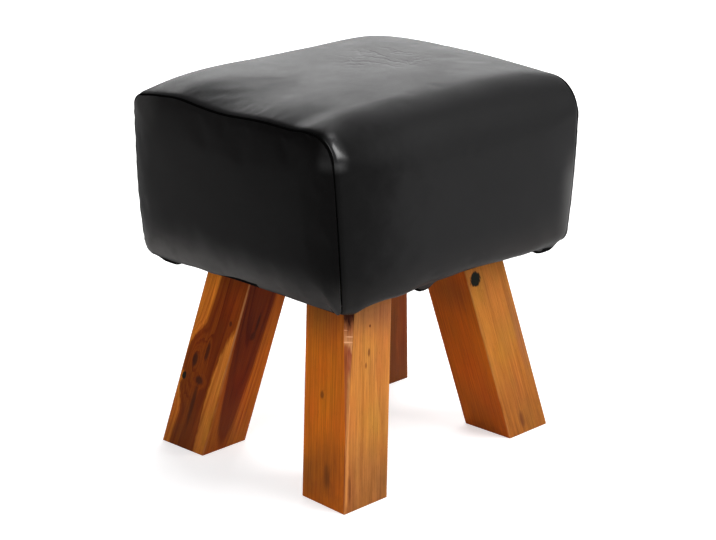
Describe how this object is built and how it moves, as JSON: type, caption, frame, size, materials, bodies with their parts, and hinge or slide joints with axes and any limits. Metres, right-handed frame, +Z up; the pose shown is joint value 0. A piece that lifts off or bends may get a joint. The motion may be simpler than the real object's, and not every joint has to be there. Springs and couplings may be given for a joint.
{
  "type": "leather stool",
  "caption": "Low stool with a rectangular padded seat in black leather, end panels sewn in with a welt, on splayed square legs of oiled solid wood.",
  "frame": {"origin": "on the floor under the middle of the seat", "axes": "+Z up; X along the seat's length, with the two sewn end panels at -X and +X; the front faces -Y"},
  "size_m": [0.4002, 0.3344, 0.442],
  "materials": {
    "leather": "smooth black leather, semi-matt",
    "leather_welt": "folded black leather strip",
    "leg_wood": "oiled hardwood, orange brown with dark heartwood and knots",
    "plywood": "raw plywood",
    "softwood": "raw pine",
    "foam": "open-cell foam",
    "dust_cloth": "black spun cloth",
    "steel": "zinc plated steel"
  },
  "bodies": {
    "root": {"back_board": "softwood", "base_board": "plywood", "base_board_screws": "steel", "corner_block_back_left": "softwood", "corner_block_back_right": "softwood", "corner_block_front_left": "softwood", "corner_block_front_right": "softwood", "cover_band": "leather", "cover_left": "leather", "cover_right": "leather", "cover_staples": "steel", "dust_cover": "dust_cloth", "foam_back": "foam", "foam_front": "foam", "foam_left": "foam", "foam_right": "foam", "foam_top": "foam", "front_board": "softwood", "left_end_board": "softwood", "leg_back_left": "leg_wood", "leg_back_right": "leg_wood", "leg_coach_screws": "steel", "leg_front_left": "leg_wood", "leg_front_right": "leg_wood", "leg_washers": "steel", "right_end_board": "softwood", "top_board": "plywood", "top_board_screws": "steel", "wall_screws": "steel", "welt_left": "leather_welt", "welt_right": "leather_welt"}
  },
  "joints": []
}
